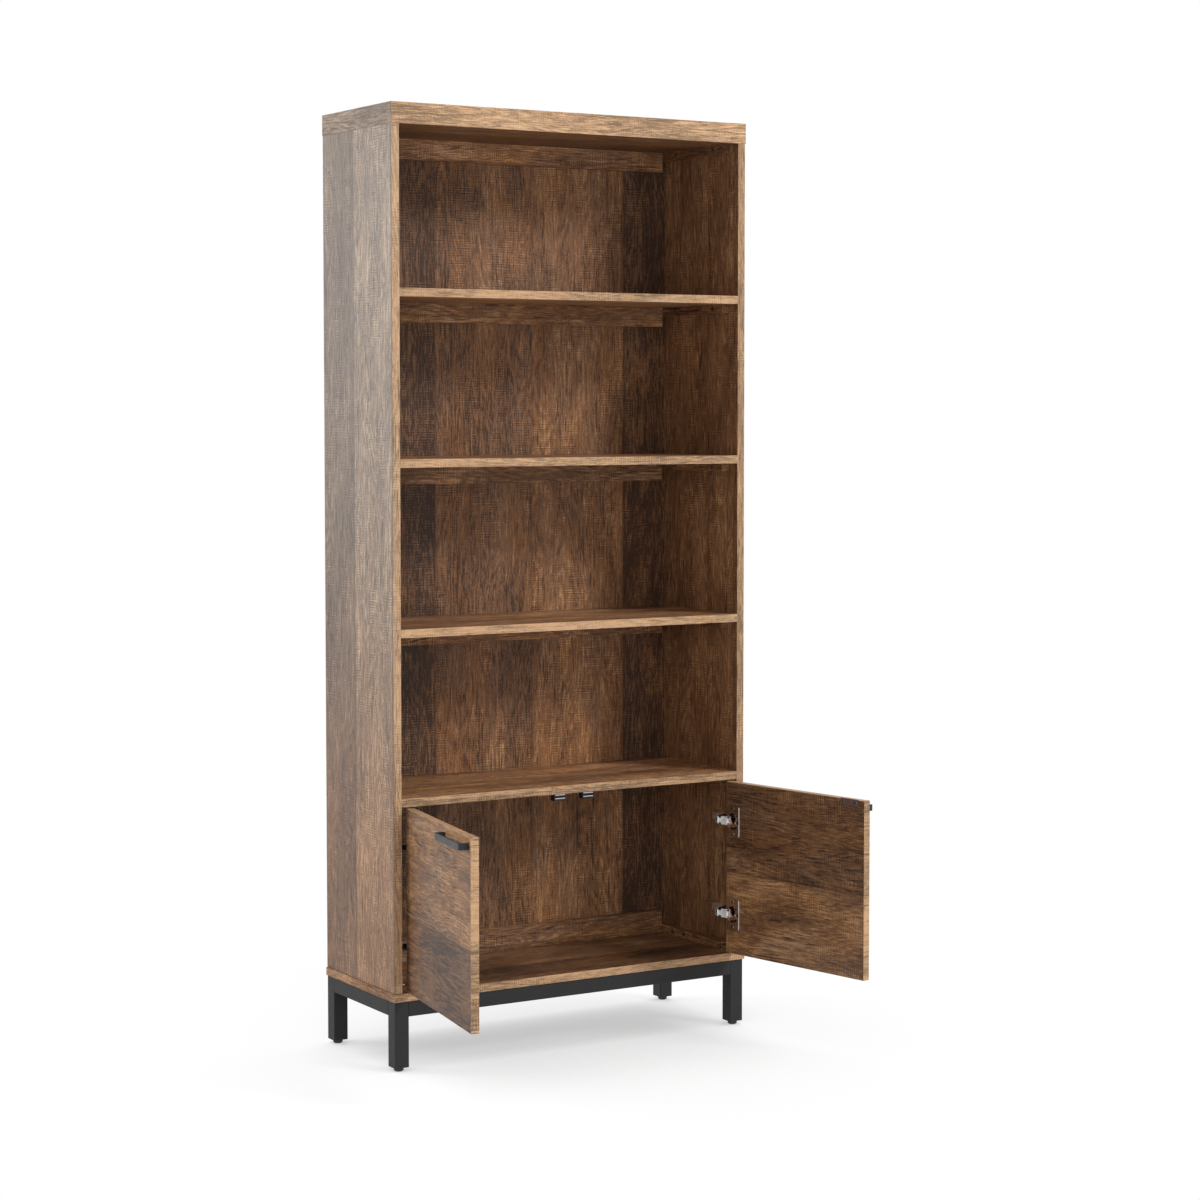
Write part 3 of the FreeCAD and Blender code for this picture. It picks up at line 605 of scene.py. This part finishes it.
class BOOKCASE_OT_doors(bpy.types.Operator):
    """Lay the laminate on the doors, with the grain across each"""
    bl_idname = "bookcase.doors"
    bl_label = "Doors"

    def execute(self, context):
        bands = {"End": (0.0, 1.0), "Edge": (0.0, 1.0)}
        # each door has one seam, between the plank of this number and the next. The left door is
        # printed darker, painted shade where the side lamp lights it, and the right one lighter,
        # painted light where it lies in shade.
        for side, along, seam_height, plank, contrast, shade in (
                ("left", 0.35, 0.294, 8, 1.1, 0.82), ("right", 1.15, 0.312, 9, 0.95, 1.05)):
            angle = math.radians(open_angle(side))
            turn = (math.radians(-90), angle if side == "left" else -angle, 0)
            shift = (along, (plank + 0.5) * DOOR_PLANK - seam_height, 0)
            dress(laminate_material(
                side.title() + " door laminate", turn, shift, bands, upright_ends=1.0,
                planks=contrast, shade=shade, width=DOOR_PLANK, variety=SET_PLANKS,
                specular=0.3), side + "_door")
        return {"FINISHED"}


# ----------------------------------------------------------- base and fittings

def even_finish_group():
    """The faint unevenness of a paint, a plating or a moulding."""
    inputs = [
        ("Position", "NodeSocketVector", None),
        ("Color", "NodeSocketColor", (0.5, 0.5, 0.5, 1)),
        ("Roughness", "NodeSocketFloat", 0.4),
    ]
    outputs = [("Color", "NodeSocketColor"), ("Roughness", "NodeSocketFloat"),
               ("Height", "NodeSocketFloat")]
    tree, given = new_group("Even finish", inputs, outputs)
    cloud = noise(tree, given["Position"], FIGURES["finish clouds"], 4.0, 0.6)
    grain = noise(tree, given["Position"], FIGURES["finish grain"], 2.0)
    uneven = maths(tree, "SUBTRACT", cloud, 0.5)
    rough = maths(tree, "MULTIPLY_ADD", uneven, 0.3, given["Roughness"])
    worn = ramp(tree, cloud, 0.3, 0.7, 0.88, 1.12)
    tint = add(tree, "ShaderNodeCombineColor", {0: worn, 1: worn, 2: worn}).outputs[0]
    color = blend(tree, 1.0, given["Color"], tint, "MULTIPLY")
    return finish_group(tree, {"Color": color, "Roughness": rough, "Height": grain})


def plain_material(name, color, roughness, metallic=0.0, grain=0.1, specular=0.5):
    """A paint, a plating or a moulding."""
    material, tree = new_material(name)
    place = add(tree, "ShaderNodeTexCoord").outputs["Object"]
    finish = add(tree, "ShaderNodeGroup", node_tree=bpy.data.node_groups["Even finish"])
    fill(tree, finish, {"Position": place, "Color": [*color, 1], "Roughness": roughness})
    bump = add(tree, "ShaderNodeBump", {
        "Height": finish.outputs["Height"], "Strength": grain, "Distance": 0.3 * MM})
    finish_material(tree, {
        "Base Color": finish.outputs["Color"], "Roughness": finish.outputs["Roughness"],
        "Metallic": metallic, "Specular IOR Level": specular, "Normal": bump.outputs[0],
    })
    return material


def cover(material, coordinate, direction, beyond, color=(0.02, 0.02, 0.02)):
    """Change a finish's colour where a coordinate reaches far enough in a direction."""
    tree = material.node_tree
    mask = facing_mask(tree, coordinate, direction, beyond)
    shader = next(node for node in tree.nodes if node.type == "BSDF_PRINCIPLED")
    finish = shader.inputs["Base Color"].links[0].from_socket
    tree.links.new(blend(tree, mask, finish, (*color, 1)), shader.inputs["Base Color"])
    return shader, mask


class BOOKCASE_OT_base(bpy.types.Operator):
    """Paint the square-tube base and its glides"""
    bl_idname = "bookcase.base"
    bl_label = "Base"

    def execute(self, context):
        metal = context.scene.metal
        legs = [f"{row}_{side}_leg" for row in ("front", "back") for side in SIDES]
        rails = [name + "_base_rail" for name in ("front", "back", "left", "right")]
        coat = plain_material("Powder coat", metal.base, 0.62, grain=0.25, specular=0.3)
        dress(coat, *legs, *rails)
        dress(plain_material("Glide plastic", (0.01, 0.01, 0.01), 0.4), "leg_glides")
        return {"FINISHED"}


class BOOKCASE_OT_fittings(bpy.types.Operator):
    """Finish the handles, hinges, strike plates and catches"""
    bl_idname = "bookcase.fittings"
    bl_label = "Handles, hinges and catches"

    def execute(self, context):
        metal = context.scene.metal
        handle = plain_material("Handle paint", metal.handle, 0.4, specular=0.35)
        nickel = plain_material("Nickel", metal.nickel, 0.3, 1.0)
        strike = plain_material("Strike paint", (0.12, 0.075, 0.055), 0.4)
        for side in SIDES:
            dress(handle, side + "_handle")
            dress(nickel, side + "_cup_pins", side + "_arm_pins", side + "_hinge_plates")
            # The links are pale grey and only partly metallic, a painted highlight; links and
            # arms are nearly black on the faces turned towards the side panel, painted shade.
            for part, color, metallic in (
                    ("link", (0.88, 0.88, 0.88), 0.3), ("arm", metal.nickel, 1.0)):
                finish = plain_material(f"{side.title()} {part} nickel", color, 0.45, metallic)
                cover(finish, "Normal", -panel_inward(side), 0.3)
                dress(finish, f"{side}_hinge_{part}s")
            dress(self.cup_nickel(side, metal.nickel), side + "_hinge_cups")
            dress(strike, side + "_strike_plate")
        catch = plain_material("Catch plastic", (0.022, 0.012, 0.013), 0.4, specular=0.3)
        dress(catch, "catch_housings")
        dress(plain_material("Pole steel", (0.6, 0.6, 0.62), 0.3, 1.0), "catch_pole_plates")
        return {"FINISHED"}

    def cup_nickel(self, side, color):
        """Bright plating, brown inside the cups as painted shade and painted reflection of the
        wood, and a pale painted highlight along the flange's free side.
        """
        cups = plain_material(side.title() + " cup nickel", color, 0.14, 1.0, grain=0.02)
        into_door = -door_inward(side)
        mouth = on_door(side, 0, CUP_MOUTH - BOARD, 0).dot(into_door)
        # painted shade and painted reflection of the wood, brown, inside the cup
        cover(cups, "Object", into_door, mouth, (0.28, 0.19, 0.135))
        along = along_door(side)
        corners = frame["nodes"][side + "_hinge_cups"].data.vertices
        highlight_start = max(corner.co.dot(along) for corner in corners) - FLANGE_HIGHLIGHT
        # a painted highlight, pale and not metallic, along the flange's free side
        shader, mask = cover(cups, "Object", along, highlight_start, (0.8, 0.78, 0.75))
        tree = cups.node_tree
        fill(tree, shader, {"Metallic": maths(tree, "SUBTRACT", 1.0, mask)})
        return cups


# ---------------------------------------------------------------------- screws

def screw_head(mesh, place, direction, diameter):
    """Add a low stepped head marked with a cross, facing a direction."""
    rise, step = 0.1 * diameter, 0.04 * diameter
    bar = Matrix.Diagonal((0.62 * diameter, 0.13 * diameter, 0.06 * diameter, 1))
    turned = direction.to_track_quat("Z", "Y").to_matrix().to_4x4()
    at = Matrix.Translation(place) @ turned
    made = bmesh.ops.create_circle(
        mesh, cap_ends=True, segments=20, radius=diameter / 2, matrix=at)
    disc = made["verts"][0].link_faces[0]
    raised = bmesh.ops.extrude_face_region(mesh, geom=[disc])["geom"]
    rim = [part for part in raised if isinstance(part, bmesh.types.BMVert)]
    bmesh.ops.translate(mesh, vec=direction * rise, verts=rim)
    top = [part for part in raised if isinstance(part, bmesh.types.BMFace)]
    bmesh.ops.inset_region(mesh, faces=top, thickness=0.12 * diameter, depth=step)
    lift = Matrix.Translation((0, 0, rise + step))
    for turn in (45, 135):
        spin = Matrix.Rotation(math.radians(turn), 4, "Z")
        bmesh.ops.create_cube(mesh, size=1.0, matrix=at @ lift @ spin @ bar)


def screws(name, material, heads, diameter, body):
    """One object of screw heads, each given by its place and direction."""
    mesh = bmesh.new()
    for place, direction in heads:
        screw_head(mesh, Vector(place), Vector(direction).normalized(), diameter)
    bmesh.ops.recalc_face_normals(mesh, faces=mesh.faces)
    data = bpy.data.meshes.new(name)
    mesh.to_mesh(data)
    mesh.free()
    data.materials.append(material)
    piece = bpy.data.objects.new(name, data)
    bpy.context.scene.collection.objects.link(piece)
    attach(piece, body)


class BOOKCASE_OT_cleat_screws(bpy.types.Operator):
    """Set the screws that hold the cleats"""
    bl_idname = "bookcase.cleat_screws"
    bl_label = "Cleat screws"

    def execute(self, context):
        steel = plain_material("Dark zinc", (0.22, 0.2, 0.19), 0.35, 1.0)
        heads = []
        for level in LEVELS:
            low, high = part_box(level + "_cleats")
            height = (low.z + high.z) / 2
            spots = FLOOR_CLEAT_SCREWS if level == "floor" else CLEAT_SCREWS
            heads += [(on_panel(side, BOARD, y, height), panel_inward(side))
                      for side in SIDES for y in spots]
        size = context.scene.screws.cleat_head
        screws("cleat_screws", steel, heads, size, "cabinet")
        return {"FINISHED"}


class BOOKCASE_OT_fitting_screws(bpy.types.Operator):
    """Set the screws of the hinges, strike plates and catches"""
    bl_idname = "bookcase.fitting_screws"
    bl_label = "Hinge, strike and catch screws"

    def execute(self, context):
        steel = bpy.data.materials["Dark zinc"]
        size = context.scene.screws.small_head
        fixed = []
        for side in SIDES:
            fixed += [(on_panel(side, PLATE_RISE, FRONT + behind, height), panel_inward(side))
                      for height in HINGE_HEIGHTS for behind in PLATE_SCREWS]
            inward = door_inward(side)
            moving = [(on_door(side, CUP_CENTRE, -BOARD - FLANGE_RISE, height + spread), inward)
                      for height in HINGE_HEIGHTS for spread in FLANGE_SCREWS]
            screws(side + "_hinge_screws", steel, moving, size, side + "_door")
            low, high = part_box(side + "_strike_plate")
            seat = (low + high) / 2 + inward * STRIKE_SEAT
            heads = [(seat + along_door(side) * spread, inward) for spread in STRIKE_SCREWS]
            screws(side + "_strike_screws", steel, heads, size, side + "_door")
        screws("plate_screws", steel, fixed, size, "cabinet")
        low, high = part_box("catch_housings")
        for side, centre in (("left", low.x + CATCH_HALF), ("right", high.x - CATCH_HALF)):
            heads = [((centre + spread, (low.y + high.y) / 2, high.z - CATCH_EAR), (0, 0, -1))
                     for spread in CATCH_SCREWS]
            screws(side + "_catch_screws", steel, heads, CATCH_HEAD, "cabinet")
        return {"FINISHED"}


# ----------------------------------------------------------------------- stage

def add_lamp(name, place, target, size, power):
    """A round area light that looks at its target."""
    light = bpy.data.lights.new(name, "AREA")
    light.energy = power
    light.shape = "DISK"
    light.size = size
    lamp = bpy.data.objects.new(name, light)
    lamp.location = place
    lamp.rotation_euler = (Vector(target) - Vector(place)).to_track_quat("-Z", "Y").to_euler()
    bpy.context.scene.collection.objects.link(lamp)


def looked_at(tree):
    """One for what is seen directly, in a reflection or through glass."""
    ray = add(tree, "ShaderNodeLightPath").outputs
    seen = maths(tree, "MAXIMUM", ray["Is Camera Ray"], ray["Is Glossy Ray"])
    return maths(tree, "MAXIMUM", seen, ray["Is Transmission Ray"])


def add_floor(paint):
    """A floor with a soft shadow round the piece, which is white further off."""
    mesh = bmesh.new()
    bmesh.ops.create_grid(mesh, x_segments=1, y_segments=1, size=FLOOR_HALF)
    data = bpy.data.meshes.new("Floor")
    mesh.to_mesh(data)
    mesh.free()
    floor = bpy.data.objects.new("Floor", data)
    bpy.context.scene.collection.objects.link(floor)

    material, tree = new_material("Floor")
    seen = looked_at(tree)
    under = add(tree, "ShaderNodeAmbientOcclusion", {"Distance": SHADOW_REACH}, samples=12)
    shadow = ramp(tree, under.outputs["AO"], 0.1, 0.8, *SHADOW_TONES)
    glow = add(tree, "ShaderNodeEmission", {"Strength": maths(tree, "MULTIPLY", shadow, seen)})
    color = blend(tree, seen, tinted(paint, 1.0), tinted(paint, LIT_SHARE))
    matt = add(tree, "ShaderNodeBsdfDiffuse", {"Color": color})
    near = add(tree, "ShaderNodeAddShader", {0: matt.outputs[0], 1: glow.outputs[0]})
    white = add(tree, "ShaderNodeEmission", {"Strength": 1.0})
    place = add(tree, "ShaderNodeTexCoord").outputs["Object"]
    away = add(tree, "ShaderNodeVectorMath", {0: place}, operation="LENGTH").outputs["Value"]
    far = maths(tree, "MULTIPLY", ramp(tree, away, *FLOOR_FADE), seen)
    ground = add(tree, "ShaderNodeMixShader", {0: far, 1: near.outputs[0], 2: white.outputs[0]})
    add(tree, "ShaderNodeOutputMaterial", {"Surface": ground.outputs[0]})
    data.materials.append(material)


def add_world():
    """Even light from all round, which is white where it is seen directly."""
    world = bpy.data.worlds.new("Studio")
    world.use_nodes = True
    tree = world.node_tree
    tree.nodes.clear()
    ambient, white = [
        add(tree, "ShaderNodeBackground", {"Color": (1, 1, 1, 1), "Strength": strength})
        for strength in (AMBIENT, 1.0)]
    mixed = add(tree, "ShaderNodeMixShader", {
        0: looked_at(tree), 1: ambient.outputs[0], 2: white.outputs[0]})
    add(tree, "ShaderNodeOutputWorld", {"Surface": mixed.outputs[0]})
    bpy.context.scene.world = world


def add_camera(lens):
    """The camera, nearly level and to the left of the front."""
    camera = bpy.data.cameras.new("Camera")
    camera.lens = lens
    camera.sensor_width = 36.0
    camera.shift_y = CAMERA_SHIFT
    camera.clip_end = 100
    eye = bpy.data.objects.new("Camera", camera)
    eye.location = CAMERA_PLACE
    eye.rotation_euler = (CAMERA_TILT, 0, CAMERA_TURN)
    bpy.context.scene.collection.objects.link(eye)
    bpy.context.scene.camera = eye


class BOOKCASE_OT_stage(bpy.types.Operator):
    """Set the floor, the light and the camera"""
    bl_idname = "bookcase.stage"
    bl_label = "Stage"

    def execute(self, context):
        add_floor(context.scene.stage.floor)
        add_world()
        for name, lamp in LAMPS.items():
            add_lamp(name, *lamp)
        add_camera(context.scene.stage.lens)
        context.scene.view_settings.view_transform = "Standard"
        return {"FINISHED"}


# ----------------------------------------------------------------------- panel

class BOOKCASE_PT_panel(bpy.types.Panel):
    """Sizes, colours and steps of the bookcase"""
    bl_idname = "BOOKCASE_PT_panel"
    bl_label = "Bookcase"
    bl_space_type = "VIEW_3D"
    bl_region_type = "UI"
    bl_category = "Bookcase"

    def draw(self, context):
        """List the settings of each group, then a button for each step."""
        for name in SETTINGS:
            group = getattr(context.scene, name)
            box = self.layout.box()
            for prop in group.__annotations__:
                box.prop(group, prop)
        for operator in OPERATORS:
            self.layout.operator(operator.bl_idname)


SETTINGS = {
    "laminate": LaminateSettings,
    "metal": MetalSettings,
    "screws": ScrewSettings,
    "stage": StageSettings,
}
OPERATORS = (
    BOOKCASE_OT_carcass,
    BOOKCASE_OT_doors,
    BOOKCASE_OT_base,
    BOOKCASE_OT_fittings,
    BOOKCASE_OT_cleat_screws,
    BOOKCASE_OT_fitting_screws,
    BOOKCASE_OT_stage,
)


def register():
    """Register the settings, the steps and the panel."""
    for name, group in SETTINGS.items():
        bpy.utils.register_class(group)
        setattr(bpy.types.Scene, name, bpy.props.PointerProperty(type=group))
    for operator in OPERATORS:
        bpy.utils.register_class(operator)
    bpy.utils.register_class(BOOKCASE_PT_panel)


def unregister():
    """Take out what register() put in."""
    bpy.utils.unregister_class(BOOKCASE_PT_panel)
    for operator in reversed(OPERATORS):
        bpy.utils.unregister_class(operator)
    for name, group in SETTINGS.items():
        delattr(bpy.types.Scene, name)
        bpy.utils.unregister_class(group)


def main():
    """Dress the frame, one step after the other."""
    register()
    board_faces_group()
    sawn_oak_group()
    even_finish_group()
    bpy.ops.bookcase.carcass()
    bpy.ops.bookcase.doors()
    bpy.ops.bookcase.base()
    bpy.ops.bookcase.fittings()
    bpy.ops.bookcase.cleat_screws()
    bpy.ops.bookcase.fitting_screws()
    bpy.ops.bookcase.stage()


if __name__ == "__main__":
    main()
